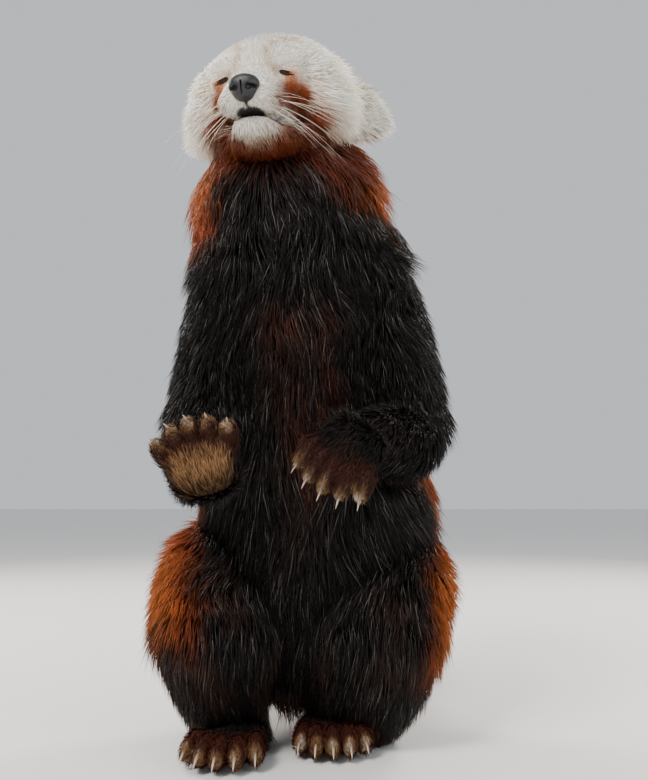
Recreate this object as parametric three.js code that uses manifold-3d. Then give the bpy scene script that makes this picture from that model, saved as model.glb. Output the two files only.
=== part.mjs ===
// A red panda standing upright on its hind legs: its head is turned a little to its right with the eyes closed
// and the ears laid back, its forepaws are held in front of the belly, and its ringed tail lies on the floor behind.
// Millimetres, +Z up. The animal faces -Y and its left side is +X. The origin is on the floor under the middle of
// the whole box. Every limb is a sweep along its bone line, from the size of the flesh, out to the depth of the coat.
import * as THREE from 'three';
import { mergeVertices } from 'three/addons/utils/BufferGeometryUtils.js';
import Module from 'manifold-3d';

const wasm = await Module();
wasm.setup();

// Driving dimensions
const gap = 0.3; // kept between touching nodes
const coreShare = 0.5; // how much of the coat's depth is solid under the locks
const coat = { crown: 12, cheek: 19, neck: 27, trunk: 22, arm: 15, forearm: 14, thigh: 18, shin: 13, tail: 32, ear: 7 };
const headCentre = { x: -28, y: 0, z: 566 };
const headTurn = { yaw: -13, nod: 6, roll: -6 }; // degrees: to its right, nose down, right side down
const clawLength = 11;
const seed = 7;

const deg = THREE.MathUtils.degToRad;
const at = (x, y, z) => new THREE.Vector3(x, y, z);

// Repeatable numbers from 0 to 1.
function randomFrom(start) {
  let state = start;
  return () => {
    state = (state + 0x6d2b79f5) | 0;
    let t = Math.imul(state ^ (state >>> 15), 1 | state);
    t = (t + Math.imul(t ^ (t >>> 7), 61 | t)) ^ t;
    return ((t ^ (t >>> 14)) >>> 0) / 4294967296;
  };
}
const random = randomFrom(seed);
const spread = (share) => 1 + (2 * random() - 1) * share;

// Turns a closed three.js geometry into a solid, with its faces pointing out.
function solidOf(geometry) {
  const bare = geometry.clone();
  bare.deleteAttribute('normal');
  bare.deleteAttribute('uv');
  const merged = mergeVertices(bare, 1e-4);
  const vertProperties = merged.attributes.position.array;
  const triVerts = new Uint32Array(merged.index.array);
  const corner = (i) => at(...vertProperties.subarray(3 * triVerts[i], 3 * triVerts[i] + 3));
  let volume = 0;
  for (let i = 0; i < triVerts.length; i += 3) volume += corner(i).dot(corner(i + 1).cross(corner(i + 2)));
  if (volume < 0) for (let i = 0; i < triVerts.length; i += 3) triVerts.subarray(i, i + 2).reverse();
  return new wasm.Manifold(new wasm.Mesh({ numProp: 3, vertProperties, triVerts }));
}

// A closed skin over rings of points, each ring a loop of equal count, with one point closing each end.
function skinOver(first, rings, last) {
  const count = rings[0].length;
  const points = [first, ...rings.flat(), last];
  const index = [];
  for (let j = 0; j < count; j++) {
    const k = (j + 1) % count;
    index.push(0, 1 + k, 1 + j);
    for (let i = 0; i + 1 < rings.length; i++) {
      const a = 1 + i * count;
      const b = a + count;
      index.push(a + j, a + k, b + k, a + j, b + k, b + j);
    }
    const end = 1 + (rings.length - 1) * count;
    index.push(points.length - 1, end + j, end + k);
  }
  return solidOf(new THREE.BufferGeometry().setFromPoints(points).setIndex(index));
}

// A limb: stations along the bone line, each [x, y, z, half width, half depth in front, half depth behind].
class Limb {
  constructor({ stations, front, coatDepth = 0, sides = 12, step = 16, power = 2, round = 0.7,
    tilts = [45], closes = false }) {
    this.spine = new THREE.CatmullRomCurve3(stations.map((s) => at(s[0], s[1], s[2])), false, 'centripetal');
    this.girth = new THREE.CatmullRomCurve3(
      stations.map((s) => at(s[3], s[4], s[5] ?? s[4])), false, 'catmullrom', 0.5);
    Object.assign(this, { front, coatDepth, sides, step, power, round, tilts, closes, length: this.spine.getLength() });
  }

  depthAt(u) {
    return typeof this.coatDepth === 'function' ? this.coatDepth(u) : this.coatDepth;
  }

  // The bone line at a share u of its length, which may run past either end.
  frame(u) {
    const share = THREE.MathUtils.clamp(u, 0, 1);
    const t = this.spine.getUtoTmapping(share);
    const along = this.spine.getTangent(t);
    const front = this.front.clone().addScaledVector(along, -this.front.dot(along)).normalize();
    const centre = this.spine.getPoint(t).addScaledVector(along, (u - share) * this.length);
    return { centre, along, front, side: along.clone().cross(front), girth: this.girth.getPoint(t) };
  }

  // A point a given height over the flesh, at an angle from the side (0) by way of the front (90 degrees).
  point(u, angle, height, shrink = 1, push = 0) {
    const { centre, along, front, side, girth } = this.frame(u);
    const bend = (v) => Math.sign(v) * Math.abs(v) ** (2 / this.power);
    const c = bend(Math.cos(angle));
    const s = bend(Math.sin(angle));
    return centre
      .addScaledVector(side, c * (girth.x + height) * shrink)
      .addScaledVector(front, s * ((s > 0 ? girth.y : girth.z) + height) * shrink)
      .addScaledVector(along, push);
  }

  ring(u, height, shrink, push) {
    return Array.from({ length: this.sides }, (_, j) =>
      this.point(u, (2 * Math.PI * j) / this.sides, height, shrink, push));
  }

  // The solid between two shares of the length: flat where it is parted, round at the limb's own ends.
  solid(grow = 0, from = 0, to = 1, fill = coreShare) {
    const low = from > 0 ? from + (gap / 2 - grow) / this.length : 0;
    const high = to < 1 ? to - (gap / 2 - grow) / this.length : 1;
    const count = Math.max(1, Math.round(((high - low) * this.length) / this.step));
    const height = (u) => this.depthAt(THREE.MathUtils.clamp(u, 0, 1)) * fill + grow;
    const rings = [];
    for (let i = 0; i <= count; i++) {
      const u = low + ((high - low) * i) / count;
      rings.push(this.ring(u, height(u)));
    }
    const domeOf = (u, sign) => {
      const { girth } = this.frame(u);
      const reach = (Math.min(girth.x, (girth.y + girth.z) / 2) + height(u)) * this.round;
      return {
        rings: this.tilts.map((a) => this.ring(u, height(u), Math.cos(deg(a)), sign * reach * Math.sin(deg(a)))),
        pole: this.point(u, 0, 0, 0, sign * reach),
      };
    };
    let first = this.point(low, 0, 0, 0);
    let last = this.point(high, 0, 0, 0);
    if (from <= 0) {
      const dome = domeOf(0, -1);
      rings.unshift(...dome.rings.reverse());
      first = dome.pole;
    }
    if (to >= 1) {
      const dome = domeOf(1, 1);
      rings.push(...dome.rings);
      last = dome.pole;
    }
    return skinOver(first, rings, last);
  }
}

// A flat lock through a line of points, widest near its root and closed to a point at both ends.
function lock(points, out, { width, thick }, grow = 0) {
  const shares = [0.95, 0.9];
  const [root, ...line] = points;
  const tip = line.pop();
  const rings = line.map((middle, i) => {
    const ahead = (line[i + 1] ?? tip).clone().sub(i > 0 ? line[i - 1] : root).normalize();
    const up = out.clone().addScaledVector(ahead, -out.dot(ahead)).normalize();
    const across = ahead.clone().cross(up);
    const half = (shares[i] * width) / 2 + grow;
    const deep = (thick * (0.75 + 0.2 * i)) / 2 + grow;
    return [[1, 0], [0, 1], [-1, 0], [0, -1]].map(([a, b]) =>
      middle.clone().addScaledVector(across, a * half).addScaledVector(up, b * deep));
  });
  const longer = (end, from) => end.clone().addScaledVector(end.clone().sub(from).normalize(), 3 * grow);
  return skinOver(longer(root, line[0]), rings, longer(tip, line[line.length - 1]));
}

// A lock that rises out of a limb's flesh and bends over along its lie, out to the coat's full depth.
function lockOn(limb, { u, angle, length, width, thick, lie, lift = 1, drift = 0 }, grow = 0) {
  const depth = limb.depthAt(THREE.MathUtils.clamp(u, 0, 1)) * lift;
  const place = (s, h) => {
    const along = u + (lie * s * length) / limb.length;
    const close = limb.closes ? 1 - 0.75 * THREE.MathUtils.smoothstep(along, 0.84, 1.12) : 1;
    return limb.point(along, angle + drift * s * s, h * depth, close);
  };
  const points = [place(-0.04, 0.1), place(0.12, 0.56), place(0.56, 0.96), place(1, 0.88)];
  const out = place(0.4, 0.9).sub(place(0.4, 0.1)).normalize();
  return lock(points, out, { width, thick }, grow);
}

// Rows of locks over part of a limb, staggered and varied.
function locksOver(limb, { from, to, rows, count, angles = [0, 360], length, width, thick = 6, lie, lift = 1 }) {
  const made = [];
  for (let r = 0; r < rows; r++) {
    for (let i = 0; i < count; i++) {
      const share = (i + (r % 2 ? 0.75 : 0.25)) / count;
      made.push({
        u: from + ((to - from) * r) / Math.max(1, rows - 1) + (0.3 * length * (random() - 0.5)) / limb.length,
        angle: deg(angles[0] + (angles[1] - angles[0]) * share) + 0.1 * (random() - 0.5),
        length: length * spread(0.12),
        width: width * spread(0.12),
        thick,
        lie,
        lift: lift * spread(0.06),
        drift: 0.2 * (random() - 0.5),
      });
    }
  }
  return (grow) => made.map((one) => lockOn(limb, one, grow));
}

// Locks of the cheek ruff, fanned out to the side, back and down.
function ruffLocks(side) {
  const made = [];
  for (let row = 0; row < 3; row++) {
    for (let col = 0; col < 2; col++) {
      const root = [side * (34 + 3 * random()), -24 + 22 * col + 5 * (row % 2), 4 - 18 * row];
      const way = headWay(side * 0.8, 0.3 + 0.33 * col + 0.1 * random(), -0.1 - 0.34 * row).normalize();
      const out = headWay(side * 0.45, -0.7, 0.2).normalize();
      const reach = (42 + 3 * row) * spread(0.1);
      const points = [0, 0.25, 0.62, 1].map((s) =>
        headPoint(...root).addScaledVector(way, s * reach).addScaledVector(out, 7 * Math.sin(Math.PI * s)));
      made.push({ points, out, size: { width: 28 * spread(0.1), thick: 7 } });
    }
  }
  return (grow) => made.map(({ points, out, size }) => lock(points, out, size, grow));
}

function ball(centre, [x, y, z], turn, grow = 0, detail = 10) {
  const shape = new THREE.SphereGeometry(1, detail, Math.max(6, detail / 2));
  const place = new THREE.Matrix4().compose(
    centre, turn ?? new THREE.Quaternion(), at(x + grow, y + grow, z + grow));
  return solidOf(shape.applyMatrix4(place));
}

// The head's own frame: x to its left, y back, z up.
const headFrame = new THREE.Matrix4().compose(
  at(headCentre.x, headCentre.y, headCentre.z),
  new THREE.Quaternion().setFromEuler(
    new THREE.Euler(deg(headTurn.nod), deg(headTurn.roll), deg(headTurn.yaw), 'ZXY')),
  at(1, 1, 1));
const headTwist = new THREE.Quaternion().setFromRotationMatrix(headFrame);
const headPoint = (x, y, z) => at(x, y, z).applyMatrix4(headFrame);
const headWay = (x, y, z) => at(x, y, z).applyQuaternion(headTwist);
const headStations = (list) => list.map(([x, y, z, ...sizes]) => [...headPoint(x, y, z).toArray(), ...sizes]);

// Nodes, in the order in which each takes its room: a later one is cut clear of those before it.
const group = new THREE.Group();
const taken = [];
const floorBlock = solidOf(new THREE.BoxGeometry(2000, 2000, 200).translate(0, 0, -100));

function largest(solid) {
  const bodies = solid.decompose();
  return bodies.reduce((best, body) => (body.volume() > best.volume() ? body : best));
}

function addNode(name, material, pieces, { carve = [], onFloor = false } = {}) {
  const union = (grow) => wasm.Manifold.union(pieces.flatMap((piece) => piece(grow)));
  const whole = union(0);
  let solid = whole;
  const box = solid.boundingBox();
  for (const other of taken) {
    const apart = [0, 1, 2].some((k) => other.box.min[k] > box.max[k] + 1 || other.box.max[k] < box.min[k] - 1);
    if (!apart) solid = solid.subtract(other.grown);
  }
  for (const cutter of carve) solid = solid.subtract(cutter);
  if (onFloor) solid = solid.subtract(floorBlock);
  solid = largest(solid);
  const grown = union(gap).add(whole);
  taken.push({ name, grown, box: grown.boundingBox() });
  const { vertProperties, triVerts, numProp } = solid.getMesh();
  const positions = new Float32Array((vertProperties.length / numProp) * 3);
  for (let i = 0; i < positions.length / 3; i++) {
    positions.set(vertProperties.subarray(i * numProp, i * numProp + 3), 3 * i);
  }
  const geometry = new THREE.BufferGeometry();
  geometry.setAttribute('position', new THREE.BufferAttribute(positions, 3));
  geometry.setIndex(new THREE.BufferAttribute(triVerts, 1));
  geometry.computeVertexNormals();
  const mesh = new THREE.Mesh(geometry, material);
  mesh.name = name;
  group.add(mesh);
}

const paint = (color, roughness) => new THREE.MeshStandardMaterial({ color, roughness, metalness: 0 });
const materials = {
  rust: paint(0xa8481c, 0.85),
  black: paint(0x17120f, 0.85),
  cream: paint(0xf0e2c8, 0.85),
  nose: paint(0x2a2a2d, 0.45),
  claw: paint(0xd9cbb0, 0.4),
  lid: paint(0xc9a27c, 0.7),
};

// Claws and paws

// A curved claw from a toe's tip.
function claw(root, way, down, length = clawLength) {
  const stations = [0, 0.35, 0.7, 1].map((s) => {
    const point = root.clone().addScaledVector(way, s * length).addScaledVector(down, 0.45 * s * s * length);
    const thick = 0.4 + 1.9 * (1 - s) ** 0.8;
    return [...point.toArray(), thick * 0.72, thick];
  });
  return new Limb({ stations, front: down, sides: 4, step: 6, round: 0.8, tilts: [] });
}

// A paw with five short toes. toward runs from the wrist to the toes, sole is the way the sole faces.
function paw({ name, heel, toward, sole, length, width, thick, curl, cutAtFloor = false, widen = 0.3 }) {
  const way = toward.clone().normalize();
  const down = sole.clone().addScaledVector(way, -sole.dot(way)).normalize();
  const across = way.clone().cross(down);
  const point = (along, wide, deep) => heel.clone()
    .addScaledVector(way, along * length).addScaledVector(across, wide * width).addScaledVector(down, deep * thick);
  const palm = new Limb({
    stations: [
      [...point(0.04, 0, 0).toArray(), width * 0.38, thick * 0.5],
      [...point(0.35, 0, 0).toArray(), width * 0.47, thick * 0.54],
      [...point(0.68, 0, 0.02).toArray(), width * 0.48, thick * 0.44],
    ],
    front: down, sides: 10, step: 24, power: 2.4, round: 0.45,
  });
  const toes = [-2, -1, 0, 1, 2].map((i) => {
    const share = i / 2;
    const fan = way.clone().addScaledVector(across, share * widen).normalize();
    const base = point(0.56 - 0.1 * share * share, share * 0.4, 0);
    const reach = length * (0.36 - 0.06 * share * share);
    const knuckle = base.clone().addScaledVector(fan, reach * 0.5).addScaledVector(down, -thick * 0.1);
    const tip = base.clone().addScaledVector(fan, reach).addScaledVector(down, thick * curl);
    const toe = new Limb({
      stations: [
        [...base.toArray(), width * 0.11, thick * 0.34],
        [...knuckle.toArray(), width * 0.13, thick * 0.38],
        [...tip.toArray(), width * 0.12, thick * 0.31],
      ],
      front: down, sides: 6, step: 30, round: 0.85,
    });
    const clawWay = fan.clone().addScaledVector(down, 0.3 + curl).normalize();
    const clawRoot = tip.clone().addScaledVector(fan, width * 0.07).addScaledVector(down, -thick * 0.1);
    return { toe, talon: claw(clawRoot, clawWay, down) };
  });
  toes.forEach(({ talon }, i) => {
    addNode(`${name}_claw_${i + 1}`, materials.claw, [(grow) => talon.solid(grow, 0, 1, 1)], { onFloor: cutAtFloor });
  });
  const pieces = [palm, ...toes.map(({ toe }) => toe)].map((limb) => (grow) => limb.solid(grow, 0, 1, 1));
  addNode(name, materials.black, pieces, { onFloor: cutAtFloor });
}

// Limb lines, from the flesh's own sizes
const limb = (depth, sides, step, stations) => new Limb({
  stations, front: at(0, -1, 0.05), coatDepth: (u) => THREE.MathUtils.lerp(depth[0], depth[1], u), sides, step,
});
const upperArms = {
  right: limb([coat.arm, coat.arm], 10, 30, [
    [-54, 6, 398, 30, 34], [-67, 0, 352, 29, 31], [-78, -6, 300, 26, 28], [-82, -14, 272, 24, 24],
  ]),
  left: limb([coat.arm, coat.arm], 10, 30, [
    [52, 6, 400, 30, 34], [66, 0, 352, 31, 33], [80, -6, 302, 29, 30], [86, -14, 270, 26, 26],
  ]),
};
const forearms = {
  right: limb([coat.forearm, 7], 10, 26, [
    [-82, -14, 268, 25, 24], [-84, -42, 248, 23, 23], [-84, -66, 234, 20, 20], [-83, -84, 222, 18, 17],
  ]),
  left: limb([coat.forearm, 7], 10, 26, [
    [86, -14, 264, 26, 26], [80, -42, 252, 25, 24], [69, -66, 250, 22, 20], [56, -84, 250, 18, 17],
  ]),
};
const thighs = {
  right: limb([coat.thigh, coat.shin], 12, 34, [
    [-50, 52, 140, 48, 50], [-64, 22, 130, 49, 50], [-71, -10, 112, 45, 44], [-72, -30, 96, 40, 38],
  ]),
  left: limb([coat.thigh, coat.shin], 12, 34, [
    [54, 54, 140, 48, 50], [64, 26, 130, 50, 50], [63, -4, 112, 48, 44], [60, -22, 96, 44, 38],
  ]),
};
const shins = {
  right: limb([coat.shin, 9], 10, 30, [
    [-72, -26, 98, 39, 38], [-69, -18, 66, 35, 34], [-65, -6, 34, 28, 28], [-62, 2, 18, 26, 24],
  ]),
  left: limb([coat.shin, 9], 10, 30, [
    [60, -18, 98, 45, 38], [55, -8, 66, 44, 36], [46, 8, 34, 38, 33], [40, 16, 18, 32, 28],
  ]),
};
const trunk = new Limb({
  stations: [
    [4, 54, 76, 66, 62, 54], [6, 46, 112, 84, 74, 64], [9, 38, 152, 90, 76, 69], [10, 29, 200, 87, 71, 68],
    [5, 22, 250, 80, 64, 66], [0, 19, 300, 76, 60, 64], [-3, 16, 350, 74, 58, 62], [-6, 15, 396, 71, 55, 60],
    [-9, 15, 424, 68, 52, 57], [-14, 14, 458, 66, 49, 56], [-20, 12, 492, 63, 48, 53], [-26, 8, 524, 52, 42, 46],
  ],
  front: at(0, -1, 0), coatDepth: (u) => THREE.MathUtils.lerp(coat.trunk, coat.neck, u), sides: 16, step: 38,
  round: 0.5,
});
const waist = 0.39; // shares of the trunk's length at which the belly, the chest and the neck are parted
const collar = 0.77;
const tailLine = new Limb({
  stations: [
    [2, 98, 92, 20, 19], [4, 140, 66, 17, 16], [10, 190, 48, 15, 14], [20, 250, 45, 14, 13],
    [32, 320, 44, 13, 12], [42, 390, 42, 10, 10], [48, 440, 37, 6, 6],
  ],
  front: at(0, 0, -1), coatDepth: (u) => coat.tail * (1 - 0.28 * Math.abs(2 * u - 0.9) ** 2.2), sides: 10, step: 40,
  closes: true,
});
const skull = new Limb({
  stations: headStations([
    [0, 52, -4, 34, 32, 28], [0, 32, 0, 47, 40, 40], [0, 8, 0, 54, 44, 45], [0, -16, 0, 57, 45, 42],
    [0, -36, -3, 52, 40, 36], [0, -50, -8, 41, 31, 30], [0, -62, -17, 30, 23, 22], [0, -75, -22, 23, 17, 15],
    [0, -87, -25, 18, 13, 11],
  ]),
  front: headWay(0, 0, -1),
  coatDepth: (u) => THREE.MathUtils.lerp(coat.crown, 3, THREE.MathUtils.smoothstep(u, 0.4, 0.82)),
  sides: 18, step: 13, power: 2.15, round: 0.6,
});
const jaw = new Limb({
  stations: headStations([
    [0, -22, -48, 36, 16, 10], [0, -46, -50, 29, 14, 8], [0, -66, -50, 21, 12, 6], [0, -79, -49, 15, 9, 4],
  ]),
  front: headWay(0, 0, -1), coatDepth: 4, sides: 12, step: 14, round: 0.6,
});

// Head: nose, closed eyes, ears, lower jaw and skull
function addNose() {
  const centre = headPoint(0, -95, -23);
  const nostrils = [-1, 1].map((side) =>
    ball(headPoint(side * 5.2, -103, -24), [2.2, 5, 1.8], headTwist, 0, 8));
  addNode('nose', materials.nose, [(grow) => ball(centre, [11.5, 8.5, 8.5], headTwist, grow)], { carve: nostrils });
}

function addEye(name, side) {
  const centre = headPoint(side * 29, -64, -2);
  const turn = headTwist.clone().multiply(new THREE.Quaternion().setFromEuler(
    new THREE.Euler(deg(-12), deg(side * 14), deg(side * 28), 'ZXY')));
  const slitCentre = at(0, -7, -3).applyQuaternion(turn).add(centre);
  const slit = ball(slitCentre, [10.5, 4, 0.6], turn);
  addNode(name, materials.lid, [(grow) => ball(centre, [11, 7, 7.5], turn, grow)], { carve: [slit] });
}

function addEar(name, side, { root: from, tip: to }) {
  const root = headPoint(...from);
  const tip = headPoint(...to);
  const inward = headWay(side * 0.5, -0.85, -0.05);
  const widths = [22, 26, 25, 19, 9];
  const blade = new Limb({
    stations: widths.map((wide, i) => {
      const s = i / (widths.length - 1);
      return [...root.clone().lerp(tip, s).toArray(), wide - 5, 5 - 2 * s];
    }),
    front: inward, coatDepth: coat.ear, sides: 10, step: 14, round: 0.5,
  });
  const cup = ball(
    root.clone().lerp(tip, 0.55).addScaledVector(inward, 12), [17, 9, 26],
    new THREE.Quaternion().setFromUnitVectors(at(0, 0, 1), tip.clone().sub(root).normalize()), 0, 10);
  const fringe = [0, 180].flatMap((angle) => [0.25, 0.6].map((u) => ({
    u, angle: deg(angle), length: 24, width: 13, thick: 5, lie: 1, lift: 1.5 * spread(0.1),
  })));
  const locks = (grow) => fringe.map((one) => lockOn(blade, one, grow));
  addNode(name, materials.cream, [(grow) => blade.solid(grow, 0, 1, 0.8), locks], { carve: [cup] });
}

addNose();
addEye('eye_right', -1);
addEye('eye_left', 1);
addEar('ear_right', -1, { root: [-56, 14, 2], tip: [-98, 44, -12] });
addEar('ear_left', 1, { root: [54, 20, -10], tip: [88, 52, -28] });
const ruffs = [-1, 1].map((side) => (grow) => ball(headPoint(side * 38, -9, -18), [27, 25, 25], headTwist, grow, 10));
const crownLocks = locksOver(skull, {
  from: 0.2, to: 0.2, rows: 1, count: 5, angles: [180, 360], length: 38, width: 38, thick: 6, lie: -1,
});
addNode('head', materials.cream, [(grow) => skull.solid(grow), ...ruffs, crownLocks, ruffLocks(-1), ruffLocks(1)]);
addNode('lower_jaw', materials.cream, [(grow) => jaw.solid(grow)]);
const neckLocks = locksOver(trunk, { from: 0.98, to: 0.84, rows: 2, count: 6, length: 72, width: 66, thick: 9, lie: -1 });
addNode('neck', materials.rust, [(grow) => trunk.solid(grow, collar, 1), neckLocks]);

// Arms, hands, legs and feet
paw({
  name: 'forepaw_right', heel: at(-83, -92, 212), toward: at(0.03, -0.42, 0.9), sole: at(0.05, -0.9, -0.42),
  length: 58, width: 60, thick: 26, curl: 0.14,
});
paw({
  name: 'forepaw_left', heel: at(44, -98, 247), toward: at(-0.55, -0.4, -0.72), sole: at(-0.1, 0.75, -0.62),
  length: 56, width: 58, thick: 26, curl: 0.26,
});
for (const side of ['right', 'left']) {
  const outer = side === 'right' ? [-100, 110] : [70, 280];
  const lower = locksOver(forearms[side], {
    from: 0.12, to: 0.12, rows: 1, count: 3, angles: outer, length: 50, width: 36, lie: 1,
  });
  addNode(`forearm_${side}`, materials.black, [(grow) => forearms[side].solid(grow), lower]);
  const upper = locksOver(upperArms[side], {
    from: 0.25, to: 0.62, rows: 2, count: 3, angles: outer, length: 70, width: 48, thick: 7, lie: 1,
  });
  addNode(`upper_arm_${side}`, materials.black, [(grow) => upperArms[side].solid(grow), upper]);
}
paw({
  name: 'hind_foot_right', heel: at(-52, -4, 13), toward: at(-0.14, -1, 0), sole: at(0, 0, -1),
  length: 92, width: 56, thick: 28, curl: 0.05, cutAtFloor: true, widen: 0.2,
});
paw({
  name: 'hind_foot_left', heel: at(22, 22, 13), toward: at(0.02, -1, 0), sole: at(0, 0, -1),
  length: 86, width: 54, thick: 28, curl: 0.05, cutAtFloor: true, widen: 0.2,
});
for (const side of ['right', 'left']) {
  const outer = side === 'right' ? [-80, 120] : [60, 260];
  const lower = locksOver(shins[side], {
    from: 0.3, to: 0.3, rows: 1, count: 4, angles: outer, length: 50, width: 46, thick: 7, lie: 1,
  });
  addNode(`shin_${side}`, materials.black, [(grow) => shins[side].solid(grow), lower], { onFloor: true });
  const upper = locksOver(thighs[side], {
    from: 0.3, to: 0.3, rows: 1, count: 3, angles: outer, length: 56, width: 62, thick: 8, lie: 1, lift: 0.75,
  });
  addNode(`thigh_${side}`, materials.black, [(grow) => thighs[side].solid(grow), upper]);
}

// Tail, in four lengths, then the trunk
const tailParts = 4;
for (let i = 0; i < tailParts; i++) {
  const share = (k) => (i + k) / tailParts;
  const locks = locksOver(tailLine, {
    from: share(0.08), to: share(0.55), rows: 2, count: 4, length: 84, width: 56, thick: 8, lie: 1,
  });
  addNode(`tail_${i + 1}`, materials.rust, [(grow) => tailLine.solid(grow, share(0), share(1)), locks],
    { onFloor: true });
}
const trunkLocks = { rows: 2, length: 100, width: 60, thick: 9, lie: -1 };
const chestLocks = [
  locksOver(trunk, { ...trunkLocks, from: 0.66, to: 0.52, count: 2, angles: [55, 125] }),
  locksOver(trunk, { ...trunkLocks, from: 0.66, to: 0.52, count: 2, angles: [225, 315], width: 78 }),
];
const bellyLocks = [
  locksOver(trunk, { ...trunkLocks, from: 0.33, to: 0.18, count: 2, angles: [55, 125] }),
  locksOver(trunk, { ...trunkLocks, from: 0.33, to: 0.16, count: 3, angles: [200, 340], width: 72 }),
];
addNode('chest', materials.rust, [(grow) => trunk.solid(grow, waist, collar), ...chestLocks]);
addNode('belly', materials.rust, [(grow) => trunk.solid(grow, 0, waist), ...bellyLocks], { onFloor: true });

// The origin goes under the middle of the box.
const bounds = new THREE.Box3().setFromObject(group);
const middle = bounds.getCenter(at(0, 0, 0));
group.position.set(-middle.x, -middle.y, -bounds.min.z);

export default group;
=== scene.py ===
import math

import bpy
import numpy as np
from mathutils import Euler, Matrix, Vector, kdtree


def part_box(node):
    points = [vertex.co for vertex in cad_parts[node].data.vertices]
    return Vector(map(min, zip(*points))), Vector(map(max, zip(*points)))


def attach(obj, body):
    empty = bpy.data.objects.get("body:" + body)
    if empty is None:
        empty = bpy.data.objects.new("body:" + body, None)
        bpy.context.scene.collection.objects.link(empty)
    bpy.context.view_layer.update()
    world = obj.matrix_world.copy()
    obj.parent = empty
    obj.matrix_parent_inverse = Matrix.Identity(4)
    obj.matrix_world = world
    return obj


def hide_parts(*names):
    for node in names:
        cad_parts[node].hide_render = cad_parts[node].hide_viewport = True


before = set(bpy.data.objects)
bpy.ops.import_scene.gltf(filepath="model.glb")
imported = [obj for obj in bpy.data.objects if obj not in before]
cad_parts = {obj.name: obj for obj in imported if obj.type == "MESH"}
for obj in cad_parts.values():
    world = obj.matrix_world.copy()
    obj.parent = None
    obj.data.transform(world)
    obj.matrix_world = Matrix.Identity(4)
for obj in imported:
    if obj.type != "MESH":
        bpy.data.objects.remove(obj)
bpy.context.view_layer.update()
print("frame loaded")

# Lengths are in millimetres in the animal's own frame: it faces -Y, its left is +X, the floor is z = 0.
rng = np.random.default_rng(21)
noseSpot = np.array([0.0, -95.0, -23.0])
headSpot = np.array([-28.0, 0.0, 566.0])
headTurn = {"yaw": -13, "nod": 6, "roll": -6, "faceRoll": -1.5}
# Depth of the coat over the flesh
coat = {
    "crown": 9, "cheek": 15, "nape": 10.5, "muzzle": 1.7, "lip": 0.8, "eye": 1.0, "neck": 23, "trunk": 20,
    "arm": 13, "forearm": 11, "wrist": 8, "thigh": 17, "shin": 13, "ankle": 8, "tail": 31, "ear": 4.5,
    "forepaw": 6, "hindFoot": 7, "paw": 2.8, "chin": 3, "throat": 9,
}


def headFrame(roll):
    yaw = Matrix.Rotation(math.radians(headTurn["yaw"]), 3, "Z")
    nod = Matrix.Rotation(math.radians(headTurn["nod"]), 3, "X")
    return np.array(yaw @ nod @ Matrix.Rotation(math.radians(roll), 3, "Y"))


# The skull and ears roll with the head, and the face sits a little more level between them.
skullMatrix = headFrame(headTurn["roll"])
headMatrix = headFrame(headTurn["faceRoll"])


def headPoint(p):
    return headSpot + np.asarray(p, float) @ headMatrix.T


def headWay(v):
    return np.asarray(v, float) @ headMatrix.T


def headLocal(p):
    return (p - headSpot) @ headMatrix


def unit(v):
    return v / np.maximum(np.linalg.norm(v, axis=-1, keepdims=True), 1e-9)


# The product of two lists of directions, row by row
def dots(a, b):
    return np.einsum("ij,ij->i", a, b)


def ramp(x, low, high):
    t = np.clip((x - low) / (high - low), 0, 1)
    return t * t * (3 - 2 * t)


# The row frame starts under the middle of the whole box, so the nose's box gives the shift.
noseLow, noseHigh = (np.array(c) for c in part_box("nose"))
shift = (noseLow + noseHigh) / 2 * 1000 - headSpot - skullMatrix @ noseSpot


def toRow(p):
    return (p + shift) / 1000


stationStep = 7
limbMargin = 34
farAway = 80.0


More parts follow.
